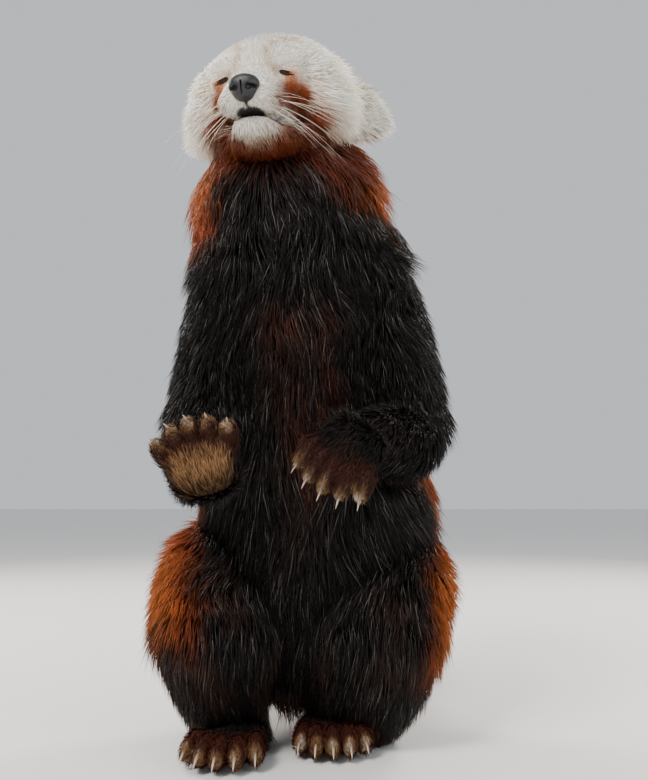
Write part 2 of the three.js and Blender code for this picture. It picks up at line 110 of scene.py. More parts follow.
# Limbs: each station is x, y, z, half width, half depth in front, half depth behind.
class Limb:
    def __init__(self, name, stations, front, end=0.7, blend=10.0):
        rows = np.array([s if len(s) == 6 else [*s, s[-1]] for s in stations], float)
        padded = np.vstack([2 * rows[0] - rows[1], rows, 2 * rows[-1] - rows[-2]])
        steps = []
        for i in range(len(rows) - 1):
            a, b, c, d = padded[i:i + 4]
            count = max(2, int(np.linalg.norm(c[:3] - b[:3]) / stationStep))
            for t in np.arange(count) / count:
                bend = (2 * a - 5 * b + 4 * c - d) * t * t + (3 * b - a - 3 * c + d) * t ** 3
                steps.append(0.5 * (2 * b + (c - a) * t + bend))
        steps.append(rows[-1])
        self.rows = np.array(steps)
        self.name, self.front = name, unit(np.array(front, float))
        self.end, self.blend = end, blend
        centres = self.rows[:, :3]
        self.reach = np.concatenate([[0], np.cumsum(np.linalg.norm(np.diff(centres, axis=0), axis=1))])
        margin = self.rows[:, 3:].max() + limbMargin
        self.low, self.high = centres.min(0) - margin, centres.max(0) + margin

    # Distance to the flesh, share of the length and direction of the bone line at each point.
    def measure(self, p):
        a, b = self.rows[:-1, :3], self.rows[1:, :3]
        best = np.full(len(p), 1e18)
        seg = np.zeros(len(p), int)
        along = np.zeros(len(p))
        for k in range(len(a)):
            line = b[k] - a[k]
            t = np.clip((p - a[k]) @ line / (line @ line), 0, 1)
            q = p - a[k] - t[:, None] * line
            far = dots(q, q)
            near = far < best
            best[near], seg[near], along[near] = far[near], k, t[near]
        row = self.rows[seg] * (1 - along)[:, None] + self.rows[seg + 1] * along[:, None]
        way = unit(b - a)
        nodes = unit(np.vstack([way[:1], way[:-1] + way[1:], way[-1:]]))
        tangent = unit(nodes[seg] * (1 - along)[:, None] + nodes[seg + 1] * along[:, None])
        front = unit(self.front - (tangent @ self.front)[:, None] * tangent)
        side = np.cross(tangent, front)
        r = p - row[:, :3]
        x, y, z = (dots(r, axis) for axis in (side, front, tangent))
        soft = ramp(y / np.maximum(row[:, 3], 1), -0.3, 0.3)
        deep = row[:, 4] * soft + row[:, 5] * (1 - soft)
        cap = np.minimum(row[:, 3], deep) * self.end
        k0 = np.sqrt((x / row[:, 3]) ** 2 + (y / deep) ** 2 + (z / cap) ** 2) + 1e-6
        k1 = np.sqrt((x / row[:, 3] ** 2) ** 2 + (y / deep ** 2) ** 2 + (z / cap ** 2) ** 2) + 1e-6
        share = (self.reach[seg] * (1 - along) + self.reach[seg + 1] * along) / self.reach[-1]
        return k0 * (k0 - 1) / k1, share, tangent

    # The same at points anywhere: those outside the limb's box count as far away.
    def around(self, p):
        far, share, way = np.full(len(p), farAway), np.zeros(len(p)), np.zeros((len(p), 3))
        near = np.all((p > self.low) & (p < self.high), axis=1)
        if near.any():
            far[near], share[near], way[near] = self.measure(p[near])
        return far, share, way


# Two forms joined, or one cut from another, with a soft edge as wide as k
def smoothUnion(a, b, k):
    h = np.clip(0.5 + 0.5 * (b - a) / k, 0, 1)
    return b * (1 - h) + a * h - k * h * (1 - h)


def smoothCut(a, b, k):
    return -smoothUnion(-a, b, k)


def ellipsoid(p, centre, radii, turn=None):
    q = p - centre
    if turn is not None:
        q = q @ turn
    radii = np.array(radii, float)
    k0 = np.linalg.norm(q / radii, axis=-1) + 1e-6
    k1 = np.linalg.norm(q / radii ** 2, axis=-1) + 1e-6
    return k0 * (k0 - 1) / k1


def headStations(rows):
    return [[*headPoint(r[:3]), *r[3:]] for r in rows]


trunk = Limb("trunk", [
    [4, 54, 76, 66, 62, 54], [6, 46, 112, 84, 74, 64], [9, 38, 152, 90, 76, 69],
    [10, 29, 200, 87, 71, 68], [5, 22, 250, 80, 64, 66], [0, 19, 300, 76, 60, 64],
    [-3, 16, 350, 74, 58, 62], [-6, 15, 396, 71, 55, 60], [-8, 15, 430, 68, 52, 57],
], [0, -1, 0], end=0.5, blend=14)
neck = Limb("neck", [
    [-9, 15, 410, 66, 50, 56], [-14, 14, 458, 66, 49, 56],
    [-20, 12, 492, 63, 48, 53], [-26, 8, 524, 52, 42, 46],
], [0, -1, 0], end=0.4, blend=24)
tail = Limb("tail", [
    [2, 98, 92, 20, 19], [4, 140, 66, 17, 16], [10, 190, 48, 15, 14], [20, 250, 45, 14, 13],
    [32, 320, 44, 13, 12], [42, 390, 42, 10, 10], [48, 440, 37, 6, 6],
], [0, 0, -1], blend=18)
skull = Limb("head", headStations([
    [0, 52, -4, 34, 32, 28], [0, 32, 0, 47, 40, 40], [0, 8, 0, 54, 44, 45],
    [0, -16, 0, 57, 45, 42], [0, -36, -3, 52, 40, 36], [0, -50, -8, 42, 31, 30],
    [0, -62, -17, 31, 23, 21], [0, -75, -22, 23, 17, 15], [0, -87, -25, 18, 13, 11],
]), headWay([0, 0, -1]), blend=16)
jaw = Limb("jaw", headStations([
    [0, -14, -48, 38, 18, 10], [0, -46, -49, 29, 13, 8], [0, -66, -47, 21, 11, 7], [0, -79, -46, 15, 8, 5],
]), headWay([0, 0, -1]), blend=7)
armsAndLegs = {
    "upper_arm_right": [
        [-54, 6, 398, 30, 34], [-67, 0, 352, 29, 31], [-78, -6, 300, 26, 28], [-82, -14, 272, 24, 24]],
    "upper_arm_left": [
        [52, 6, 400, 30, 34], [66, 0, 352, 31, 33], [80, -6, 302, 29, 30], [86, -14, 270, 26, 26]],
    "forearm_right": [
        [-82, -14, 268, 25, 24], [-84, -42, 248, 23, 23], [-82, -66, 234, 20, 20], [-77, -84, 222, 18, 17]],
    "forearm_left": [
        [86, -14, 264, 26, 26], [80, -42, 252, 25, 24], [69, -66, 250, 22, 20], [56, -84, 250, 18, 17]],
    "thigh_right": [
        [-50, 52, 140, 48, 50], [-64, 22, 130, 49, 50], [-71, -10, 112, 45, 44], [-72, -30, 96, 40, 38]],
    "thigh_left": [
        [54, 54, 140, 48, 50], [64, 26, 130, 50, 50], [63, -4, 112, 48, 44], [60, -22, 96, 44, 38]],
    "shin_right": [
        [-72, -26, 98, 39, 38], [-69, -18, 66, 35, 34], [-65, -6, 34, 28, 28], [-62, 2, 18, 26, 24]],
    "shin_left": [
        [60, -18, 98, 45, 38], [55, -8, 66, 44, 36], [46, 8, 34, 38, 33], [40, 16, 18, 32, 28]],
}
limbs = [trunk, neck, skull, jaw, tail]
limbs += [Limb(name, rows, [0, -1, 0.05], blend=14) for name, rows in armsAndLegs.items()]

# Paws: toward runs from the wrist to the toes, sole is the way the sole faces.
paws = {
    "forepaw_right": {"heel": [-70, -92, 212], "toward": [-0.26, -0.42, 0.87], "sole": [0.05, -0.9, -0.42],
                      "length": 57, "width": 54, "thick": 24, "curl": 0.14, "widen": 0.3},
    "forepaw_left": {"heel": [44, -98, 252], "toward": [-0.55, -0.4, -0.72], "sole": [-0.1, 0.75, -0.62],
                     "length": 52, "width": 54, "thick": 24, "curl": 0.26, "widen": 0.3},
    "hind_foot_right": {"heel": [-52, -4, 13], "toward": [-0.14, -1, 0], "sole": [0, 0, -1],
                        "length": 90, "width": 53, "thick": 26, "curl": 0.05, "widen": 0.2},
    "hind_foot_left": {"heel": [22, 22, 13], "toward": [0.02, -1, 0], "sole": [0, 0, -1],
                       "length": 84, "width": 51, "thick": 26, "curl": 0.05, "widen": 0.2},
}
claws = {}
toeTips = {}
for name, p in paws.items():
    way = unit(np.array(p["toward"], float))
    down = unit(np.array(p["sole"], float) - np.dot(p["sole"], way) * way)
    across = np.cross(way, down)
    p.update(way=way, down=down, across=across)
    length, width, thick = p["length"], p["width"], p["thick"]

    def spot(along, wide, deep):
        aside = across * wide * width
        return np.array(p["heel"], float) + way * along * length + aside + down * deep * thick

    limbs.append(Limb(name, [
        [*spot(0.04, 0, 0), width * 0.38, thick * 0.5],
        [*spot(0.35, 0, 0), width * 0.46, thick * 0.52],
        [*spot(0.6, 0, 0.02), width * 0.46, thick * 0.38],
    ], down, end=0.5, blend=9))
    toeTips[name] = []
    for i in range(-2, 3):
        share = i / 2
        fan = unit(way + across * share * p["widen"])
        base = spot(0.56 - 0.1 * share ** 2, share * 0.4, 0)
        reach = length * (0.36 - 0.06 * share ** 2)
        knuckle = base + fan * reach * 0.5 - down * thick * 0.1
        tip = base + fan * reach + down * thick * p["curl"]
        limbs.append(Limb(f"{name}_toe_{i + 3}", [
            [*base, width * 0.105, thick * 0.33],
            [*knuckle, width * 0.125, thick * 0.4],
            [*tip, width * 0.105, thick * 0.33],
        ], down, end=0.85, blend=1.5))
        clawWay = unit(fan + down * (0.3 + p["curl"]))
        toeTips[name].append(tip)
        claws[f"{name}_claw_{i + 3}"] = (tip + fan * width * 0.07 - down * thick * 0.1, clawWay, down)

# Ears: a leaf of flesh laid back, hollowed on its front.
earEnds = {"ear_right": ([-56, 14, 2], [-98, 44, -12]), "ear_left": ([54, 20, -10], [88, 52, -28])}
earWidths = [19, 23, 22, 17, 8]
ears = {}
for name, (root, tip) in earEnds.items():
    root, tip = headSpot + skullMatrix @ root, headSpot + skullMatrix @ tip
    side = -1 if name == "ear_right" else 1
    inward = unit(skullMatrix @ [side * 0.5, -0.85, -0.05])
    rows = [[*(root + (tip - root) * i / 4), wide, 5 - 0.5 * i] for i, wide in enumerate(earWidths)]
    limbs.append(Limb(name, rows, inward, end=0.5, blend=6))
    ears[name] = {"root": root, "tip": tip, "inward": inward, "along": unit(tip - root)}

# The depths of coat where a limb begins and where it ends
furDepths = {
    "trunk": ("trunk", "trunk"), "neck": ("neck", "neck"), "upper_arm": ("arm", "arm"),
    "forearm": ("forearm", "wrist"), "thigh": ("thigh", "shin"), "shin": ("shin", "ankle"),
    "forepaw": ("forepaw", "paw"), "hind_foot": ("hindFoot", "paw"), "ear": ("ear", "ear"),
}


# The tail's coat is longest near its middle.
def furDepth(limb, share):
    if limb.name == "tail":
        return coat["tail"] * (1 - 0.28 * np.abs(2 * share - 0.9) ** 2.2)
    if "_toe" in limb.name:
        return coat["paw"] * (1 - 0.35 * share)
    near, far = (coat[key] for key in furDepths[limb.name.replace("_right", "").replace("_left", "")])
    return near + (far - near) * share


# The finer forms of the face: those of the right side are the left's in the mirror.
mouthHeight = -39.2
faceBulges = {
    "cheek": {"at": (38, -14, -22), "radii": (22, 26, 22), "blend": 14},
    "whiskerPad": {"at": (12, -78, -30), "radii": (14, 15, 9.5), "blend": 5},
    "brow": {"at": (26, -56, 9), "radii": (14, 9, 7), "blend": 8},
    "socket": {"at": (30, -69, -5), "radii": (12, 6, 7), "blend": 5},
    "lid": {"at": (30, -60.5, -5.5), "radii": (9.5, 5.4, 6), "blend": 2},
}


def cheeks(p, d):
    for side in (-1, 1):
        for name, form in faceBulges.items():
            join = smoothCut if name == "socket" else smoothUnion
            centre = headPoint(np.array(form["at"]) * [side, 1, 1])
            d = join(d, ellipsoid(p, centre, form["radii"], headMatrix), form["blend"])
    return d


def mouthGap(q):
    side = np.abs(q[:, 0])
    middle = mouthHeight - 0.05 * np.clip(q[:, 1] + 90, 0, 60) - 0.006 * side ** 2 - 0.12 * side
    half = 1.8 * ramp(-q[:, 1], 58, 84) * (1 - ramp(side, 4, 22))
    return np.abs(q[:, 2] - middle) - 0.5 - half


# The mouth is open in front, and a fine groove runs from the nose to the lip.
def faceForms(p, d):
    local = headLocal(p)
    inside = ellipsoid(p, headPoint([0, -66, mouthHeight]), (25, 33, 18), headMatrix)
    d = smoothCut(d, np.maximum(np.maximum(mouthGap(local), local[:, 1] + 46), inside), 1.2)
    groove = np.maximum(np.abs(local[:, 0]) - 0.8, np.maximum(local[:, 2] + 28, mouthHeight - local[:, 2]))
    return smoothCut(d, groove + np.where(local[:, 1] > -80, 50, 0), 1.5)


# Flesh of the whole animal as a distance on a grid
step = 2.3
low = np.array([-138.0, -150.0, -3.0])
high = np.array([138.0, 462.0, 622.0])
counts = np.ceil((high - low) / step).astype(int) + 1
field = np.full(counts, 60.0, np.float32)


def gridBlock(a, b):
    i0 = np.clip(np.floor((a - low) / step).astype(int), 0, counts - 1)
    i1 = np.clip(np.ceil((b - low) / step).astype(int) + 1, 1, counts)
    axes = [low[k] + step * np.arange(i0[k], i1[k]) for k in range(3)]
    points = np.stack(np.meshgrid(*axes, indexing="ij"), -1).reshape(-1, 3)
    return tuple(slice(i0[k], i1[k]) for k in range(3)), points


for limb in limbs:
    place, points = gridBlock(limb.low, limb.high)
    d = limb.measure(points)[0].reshape(field[place].shape)
    field[place] = smoothUnion(field[place], d, limb.blend)
headMiddle, headReach = headPoint([0, -10, -10]), 115
place, points = gridBlock(headMiddle - headReach, headMiddle + headReach)
d = faceForms(points, cheeks(points, field[place].reshape(-1).astype(float)))
for ear in ears.values():
    # Hollow of the ear
    axes = np.stack([np.cross(ear["along"], ear["inward"]), ear["inward"], ear["along"]], 1)
    cup = ear["root"] + (ear["tip"] - ear["root"]) * 0.52 + ear["inward"] * 8
    d = smoothCut(d, ellipsoid(points, cup, (15, 9, 21), axes), 3)
field[place] = d.reshape(field[place].shape)
floorGap = 0.4
field = np.maximum(field, floorGap - (low[2] + step * np.arange(counts[2])))
print("flesh measured")


# Surface nets: one point in each cell that the surface crosses, one face round each edge that it crosses.
def surfaceNet(field, low, step):
    hits = np.zeros(tuple(n - 1 for n in field.shape), np.float32)
    total = np.zeros(hits.shape + (3,), np.float32)
    cell = np.full(hits.shape, -1, np.int64)
    crossings, quads = [], []
    for axis in range(3):
        a, b = np.delete(field, -1, axis), np.delete(field, 0, axis)
        cut = (a < 0) != (b < 0)
        index = np.argwhere(cut)
        va, vb = a[cut], b[cut]
        t = va / (va - vb)
        spot = index.astype(np.float32)
        spot[:, axis] += t
        others = [k for k in range(3) if k != axis]
        for da in (0, 1):
            for db in (0, 1):
                c = index.copy()
                c[:, others[0]] -= da
                c[:, others[1]] -= db
                ok = np.all((c >= 0) & (c < np.array(hits.shape)), axis=1)
                np.add.at(total, tuple(c[ok].T), spot[ok])
                np.add.at(hits, tuple(c[ok].T), 1)
        crossings.append((axis, others, index, va < 0))
    used = hits > 0
    cell[used] = np.arange(used.sum())
    verts = low + step * (total[used] / hits[used][:, None])
    for axis, others, index, startsInside in crossings:
        ok = np.all([(index[:, k] > 0) & (index[:, k] < hits.shape[k]) for k in others], axis=0)
        index, startsInside = index[ok], startsInside[ok]
        corner = []
        for da, db in ((0, 0), (1, 0), (1, 1), (0, 1)):
            c = index.copy()
            c[:, others[0]] -= da
            c[:, others[1]] -= db
            corner.append(cell[tuple(c.T)])
        quad = np.stack(corner, 1)
        turn = startsInside == (axis == 1)
        quad[turn] = quad[turn][:, ::-1]
        quads.append(quad)
    return verts, np.vstack(quads)


def meshFrom(name, verts, faces):
    mesh = bpy.data.meshes.new(name)
    size = faces.shape[1]
    mesh.vertices.add(len(verts))
    mesh.vertices.foreach_set("co", toRow(verts).astype(np.float32).ravel())
    mesh.loops.add(faces.size)
    mesh.loops.foreach_set("vertex_index", faces.astype(np.int32).ravel())
    mesh.polygons.add(len(faces))
    mesh.polygons.foreach_set("loop_start", np.arange(0, faces.size, size, dtype=np.int32))
    mesh.polygons.foreach_set("loop_total", np.full(len(faces), size, np.int32))
    mesh.polygons.foreach_set("use_smooth", np.ones(len(faces), bool))
    mesh.update(calc_edges=True)
    mesh.validate()
    obj = bpy.data.objects.new(name, mesh)
    bpy.context.scene.collection.objects.link(obj)
    return obj


def relax(verts, quads, rounds, weight=0.5):
    edges = np.vstack([quads[:, [k, (k + 1) % 4]] for k in range(4)])
    for _ in range(rounds):
        total = np.zeros_like(verts)
        count = np.zeros(len(verts))
        for a, b in ((0, 1), (1, 0)):
            for k in range(3):
                total[:, k] += np.bincount(edges[:, a], verts[edges[:, b], k], len(verts))
            count += np.bincount(edges[:, a], minlength=len(verts))
        verts = verts + weight * (total / np.maximum(count, 1)[:, None] - verts)
    return verts


verts, quads = surfaceNet(field, low, step)
verts = relax(verts.astype(float), quads, 2, 0.4)
verts[:, 2] = np.maximum(verts[:, 2], 0.3)
print("skin", len(verts), "points", len(quads), "faces")


# Markings by place, in linear colour. The head's are read in the head's own frame.
tones = {
    "white": (0.98, 0.93, 0.83), "cream": (0.90, 0.79, 0.60), "tan": (0.58, 0.34, 0.14),
    "orange": (0.56, 0.16, 0.032), "rust": (0.30, 0.056, 0.011), "deep": (0.11, 0.02, 0.008),
    "black": (0.007, 0.005, 0.0045), "brown": (0.035, 0.014, 0.009), "sole": (0.25, 0.13, 0.055),
    "lip": (0.004, 0.003, 0.003),
}
tones = {k: np.array(v) for k, v in tones.items()}


# One colour for each point, with tones or other colours laid over it by an amount for each point
class Paint:
    def __init__(self, tone, count):
        self.colour = np.tile(tones[tone], (count, 1))

    def lay(self, tone, amount):
        over = tones[tone] if isinstance(tone, str) else tone
        self.colour = self.colour + (over - self.colour) * np.clip(amount, 0, 1)[:, None]


fullTurn = 6.28


def wave(p, size, seed):
    ways = unit(np.random.default_rng(seed).normal(size=(5, 3))) / size
    phase = np.random.default_rng(seed + 1).uniform(0, fullTurn, 5)
    return sum(np.sin(p @ w * fullTurn + f) for w, f in zip(ways, phase)) / 5


def bump(x, centre, width):
    return np.exp(-((x - centre) / width) ** 2)


# Distance to the nearest of the limbs whose names begin so, and 60 at most
def nearest(p, starts):
    far = [limb.around(p)[0] for limb in limbs if limb.name.startswith(starts)]
    return np.min([np.full(len(p), 60.0), *far], axis=0)


# Places on the face in the head's own frame, and the borders between two tones
faceMarks = {
    "crown": (26, 40), "nape": (12, 30), "brow": (25, 12), "browSize": (13, 16), "tear": 30.5,
    "tearWidth": 5.5, "eyeCorner": (30, -4), "chin": (47, 55), "throat": (-78, -63), "lips": 22,
}


def faceMarkings(p, fine, wobble):
    hx, hy, hz = headLocal(p).T
    side = np.abs(hx)
    face = Paint("cream", len(p))
    face.lay("white", ramp(-hy, 0, 40))
    crown = ramp(hz + 4 * fine, *faceMarks["crown"]) * ramp(hy, -44, -14)
    face.lay("tan", 0.3 * crown)
    face.lay("rust", 0.95 * ramp(hy + 6 * wobble + 4 * fine, *faceMarks["nape"]))
    # Brow: a white patch over each eye inside a faint tan line
    (browSide, browHeight), (browWide, browTall) = faceMarks["brow"], faceMarks["browSize"]
    ring = np.sqrt(((side - browSide) / browWide) ** 2 + ((hz - browHeight) / browTall) ** 2)
    edge = bump(ring + 0.09 * fine, 1.05, 0.3) * (hy < -18) * ramp(hz, -8, 0)
    face.lay("tan", 0.55 * edge * (0.75 + 0.5 * fine) * ramp(-side, -36, -22))
    face.lay("white", ramp(-ring, -0.85, -0.6) * (hy < -18))
    # Tear stripe from the eye down the cheek to the corner of the mouth and the throat
    down = np.clip(-4 - hz, 0, 60)
    tear = bump(side + 1.3 * fine, faceMarks["tear"] + 0.12 * down, faceMarks["tearWidth"] + 0.15 * down)
    tear = np.clip(1.35 * tear * ramp(-hz, 1, 9) * ramp(-hy, 2, 16), 0, 1)
    face.lay("orange", 0.85 * tear)
    face.lay("rust", tear * ramp(-hz, 8, 16))
    face.lay("deep", 0.8 * tear * ramp(-hz, 13, 30))
    cornerSide, cornerHeight = faceMarks["eyeCorner"]
    corner = bump(side, cornerSide, 13) * bump(hz, cornerHeight, 6) * (hy < -36)
    face.lay("orange", 0.4 * corner)
    # Chin stays white, and the throat behind it turns rust, then dark red.
    under = ramp(-hz, *faceMarks["chin"])
    face.lay("tan", 0.5 * ramp(hy + 5 * fine, -86, -74) * under)
    throat = ramp(hy + 4 * fine, *faceMarks["throat"]) * under
    face.lay("rust", throat)
    face.lay("deep", 0.4 * throat)
    face.lay("deep", 0.85 * throat * ramp(hy, -56, -40))
    # Near-black lips: the lips' own black skin, and painted shade inside the open mouth.
    lips = ramp(-mouthGap(np.stack([hx, hy, hz], 1)), -1.1, -0.2)
    lips = lips * (hy < -50) * (side < faceMarks["lips"])
    philtrum = bump(side, 0, 1.6) * (hy < -82) * ramp(-hz, 27, 30) * ramp(hz, -42, -39)
    face.lay("cream", 0.7 * ramp(fine, 0.0, 0.5) * ramp(side, 30, 44))
    face.lay("lip", np.minimum(lips + philtrum, 0.95))
    return face.colour


# Places on the body, and the borders between two tones. Pairs for right and left end in Sides.
bodyMarks = {
    "legs": (30, 70), "chestStreaks": ((-17, 378, 8, 46), (10, 340, 10, 60), (-2, 262, 14, 46)),
    "shoulder": (372, 400), "neckSides": (434, 456), "hipSides": (70, 84), "hipLow": (46, 104),
    "hipHigh": (236, 262), "nape": (478, 500), "collar": 502, "chin": (486, 504), "head": (500, 512),
    "tailRings": 6.5, "tailTip": (0.86, 0.95),
}


def markings(p, normal):
    x, y, z = p.T
    wobble = wave(p, 42, 3)
    fine = wave(p, 13, 5)
    fur = Paint("rust", len(p))
    # Back and flanks are rust, the belly and chest black, with a ragged line between them.
    outward = np.abs(normal[:, 0])
    # Orange where the coat faces sideways: the flanks' lighter rust, brightened by painted rim light.
    fur.lay("orange", 0.4 * ramp(outward + 0.2 * fine, 0.45, 0.9) * (z < 480))
    front = ramp(-normal[:, 1] + 0.16 * wobble + 0.1 * fine, 0.0, 0.5)
    fur.lay("black", front * ramp(z, *bodyMarks["legs"]))
    for centre, height, wide, tall in bodyMarks["chestStreaks"]:
        streak = bump(x + 12 * wobble + 6 * fine, centre, wide) * bump(z, height, tall)
        fur.lay("deep", 0.6 * streak * (normal[:, 1] < -0.2) * (0.6 + 0.9 * fine))
    # Arms and legs are black, with rust and orange over the hip, the orange partly painted sunlight.
    body = trunk.measure(p)[0]
    armFar = nearest(p, ("upper_arm", "forearm", "forepaw"))
    armShare = ramp(body - armFar + 3 * fine + 4 * wobble, -6, 12)
    fur.lay("black", armShare * (1 - ramp(z, 426, 446)))
    neckTop = np.where(x < 0, *bodyMarks["neckSides"])
    shoulder = 1 - ramp(z + 6 * wobble + 4 * fine, neckTop, neckTop + 24)
    shoulder = ramp(z, *bodyMarks["shoulder"]) * shoulder
    fur.lay("black", shoulder * ramp(-(y + 6 * wobble + 5 * fine), -32, -8))
    legShare = ramp(body - nearest(p, ("thigh", "shin", "hind")) + 4 * fine, -8, 14)
    fur.lay("black", legShare)
    hipEdge = np.where(x < 0, *bodyMarks["hipSides"])
    hip = ramp(np.abs(x - 2) + 9 * wobble + 6 * fine, hipEdge, hipEdge + 26)
    hip = np.maximum(hip, ramp(y + 9 * wobble + 6 * fine, 22, 48))
    hip = hip * ramp(z, *bodyMarks["hipLow"]) * (1 - ramp(z, *bodyMarks["hipHigh"]))
    hip = hip * (1 - armShare)
    fur.lay("rust", 0.95 * hip)
    # Orange at the hip's outer edge: the hip's rust, brightened by painted sunlight.
    fur.lay("orange", 0.85 * hip * ramp(np.abs(x - 2), 90, 112))
    fur.lay("brown", 0.6 * legShare * (1 - hip) * ramp(wobble, -0.2, 0.5))
    # Toes turn reddish, then pale at the tips, partly pale tufts and partly painted highlights of glossy
    # tips, and the forepaws' soles are brown.
    for name, tips in toeTips.items():
        paw = paws[name]
        past = (p - np.array(tips)[:, None]) @ paw["way"]
        far = np.linalg.norm(p - np.array(tips)[:, None], axis=2)
        closest = np.argmin(far, axis=0)
        past, far = past[closest, np.arange(len(p))], far.min(axis=0)
        fur.lay("deep", (0.55 if "hind" in name else 0.35) * ramp(-far, -34, -18))
        ragged = past + 5 * fine + 3 * wave(p, 4, 11)
        # Pale toe tips: pale tufts, and painted highlights where the glossy tips catch the light.
        fur.lay("tan", 0.36 * (far < 24) * ramp(ragged, -3, 5))
        fur.lay("white", 0.5 * (far < 24) * ramp(ragged, 3, 9))
        if "fore" in name:
            r = p - np.array(paw["heel"], float)
            along = (r @ paw["way"]) / paw["length"]
            wide = np.abs(r @ paw["across"]) / paw["width"]
            pad = ramp(normal @ paw["down"], 0.4, 0.8) * bump(along, 0.3, 0.26)
            pad = pad * ramp(-wide, -0.46, -0.28)
            fur.lay("sole", 1.1 * pad * (far < 60))
    # Tail: rust and buff rings with a dark tip.
    tailFar, tailShare, _ = tail.measure(p)
    onTail = ramp(body - tailFar, 4, 22) * (y > 110)
    ring = ramp(np.sin(tailShare * fullTurn * bodyMarks["tailRings"] + 0.5 * fine), -0.25, 0.35)
    ringed = Paint("rust", len(p))
    ringed.lay("tan", ring * 0.85)
    ringed.lay("deep", ramp(tailShare, *bodyMarks["tailTip"]))
    fur.lay(ringed.colour, onTail)
    # Upper neck: rust at the sides and back, dark red under the chin
    neckSide = ramp(outward + 0.25 * fine + 0.12 * wobble, 0.52, 0.88)
    fur.lay("rust", 0.95 * ramp(z + 8 * wobble, neckTop, neckTop + 26) * neckSide)
    nape = ramp(z, *bodyMarks["nape"]) * ramp(normal[:, 1], -0.35, 0.05)
    fur.lay("rust", nape)
    collar = bump(z + 6 * wobble, bodyMarks["collar"], 20) * neckSide * (normal[:, 1] < 0.5)
    fur.lay("orange", 0.6 * collar)
    chinShade = ramp(z + 5 * wobble, *bodyMarks["chin"]) * ramp(-normal[:, 1], 0.2, 0.7)
    fur.lay("deep", 0.9 * chinShade)
    onHead = ramp(neck.measure(p)[0] - nearest(p, ("head", "jaw", "ear")), -14, 6)
    onHead = onHead * ramp(z, *bodyMarks["head"])
    hy, hz = headLocal(p).T[1:]
    onHead = np.maximum(onHead, ramp(-hy, 44, 56) * ramp(hz, -72, -62))
    fur.lay(faceMarkings(p, fine, wobble), onHead)
    # Ears: white with rust backs, a faint painted shade in the hollow, and an orange line at the root,
    # partly painted shade where the ear meets the head
    for name, ear in ears.items():
        onEar = ramp(-nearest(p, (name,)), -9, -3) * ramp(nearest(p, ("head",)), 2, 9)
        back = ramp(-(normal @ ear["inward"]), -0.1, 0.5)
        along = (p - ear["root"]) @ ear["along"]
        fur.lay("white", onEar)
        # Painted shade: faint tan in the ear's hollow.
        fur.lay("tan", 0.14 * onEar * (1 - back) * bump(along, 20, 12))
        fur.lay("rust", 0.9 * onEar * back * ramp(-along, -52, -36))
        away = np.linalg.norm(p - ear["root"], axis=1)
        # Orange line at the root: orange fur, and painted shade where the ear meets the head.
        line = bump(along + 3 * fine, -1, 3.5) * (away < 34) * (y < ear["root"][1])
        fur.lay("orange", 0.55 * line)
    return np.clip(fur.colour, 0.004, 1)


def vertexNormals(verts, quads):
    a, b, c, d = (verts[quads[:, k]] for k in range(4))
    face = np.cross(c - a, d - b)
    normal = np.zeros_like(verts)
    for k in range(4):
        for axis in range(3):
            normal[:, axis] += np.bincount(quads[:, k], face[:, axis], len(verts))
    return unit(normal)


skinNormals = vertexNormals(verts, quads)
skinColours = markings(verts, skinNormals)
print("markings laid")


# Shader graph in short: a wrapped socket takes arithmetic, and one method adds every other node.
class Wire:
    def __init__(self, graph, socket):
        self.graph, self.socket = graph, socket

    def apply(self, operation, a, b):
        return self.graph.node("ShaderNodeMath", {"operation": operation}, a, b)

    def __add__(self, other):
        return self.apply("ADD", self, other)

    def __radd__(self, other):
        return self.apply("ADD", other, self)

    def __mul__(self, other):
        return self.apply("MULTIPLY", self, other)

    def __rmul__(self, other):
        return self.apply("MULTIPLY", other, self)


class Graph:
    def __init__(self, name):
        self.material = bpy.data.materials.new(name)
        self.material.use_nodes = True
        self.tree = self.material.node_tree
        self.surface = self.tree.nodes["Principled BSDF"]
        self.place = self.node("ShaderNodeTexCoord", output=3)

    def node(self, kind, settings=None, *values, output=0, **named):
        made = self.tree.nodes.new(kind)
        for key, value in (settings or {}).items():
            setattr(made, key, value)
        for key, value in [*enumerate(values), *named.items()]:
            self.feed(made.inputs[key.replace("_", " ") if isinstance(key, str) else key], value)
        return Wire(self, made.outputs[output])

    def feed(self, socket, value):
        if isinstance(value, Wire):
            self.tree.links.new(value.socket, socket)
        else:
            socket.default_value = value

    def mix(self, amount, a, b, blend="MIX"):
        made = self.tree.nodes.new("ShaderNodeMix")
        made.data_type, made.blend_type = "RGBA", blend
        for index, value in ((0, amount), (6, a), (7, b)):
            self.feed(made.inputs[index], value)
        return Wire(self, made.outputs[2])

    def noise(self, scale, detail):
        return self.node("ShaderNodeTexNoise", {}, self.place, Scale=scale, Detail=detail)

    def marks(self):
        return self.node("ShaderNodeAttribute", {"attribute_name": "marks"})

    def relief(self, strength, distance, height):
        bumps = self.node("ShaderNodeBump", {}, Strength=strength, Distance=distance, Height=height)
        self.set(Normal=bumps)

    def set(self, **values):
        for key, value in values.items():
            self.feed(self.surface.inputs[key.replace("_", " ")], value)


def furMaterial(name, settings):
    g = Graph(name)
    grain = g.noise(settings["grain"], 2.0)
    shade = 0.72 + g.noise(settings["cloud"], 3.0) * 0.34 + grain * 0.2
    grey = g.node("ShaderNodeCombineColor", {}, shade, shade, shade)
    g.set(Base_Color=g.mix(1.0, g.marks(), grey, "MULTIPLY"), Roughness=settings["rough"] + grain * 0.2)
    g.relief(settings["bump"], 0.001, grain)
    g.surface.inputs["Specular IOR Level"].default_value = settings["gloss"]
    return g.material


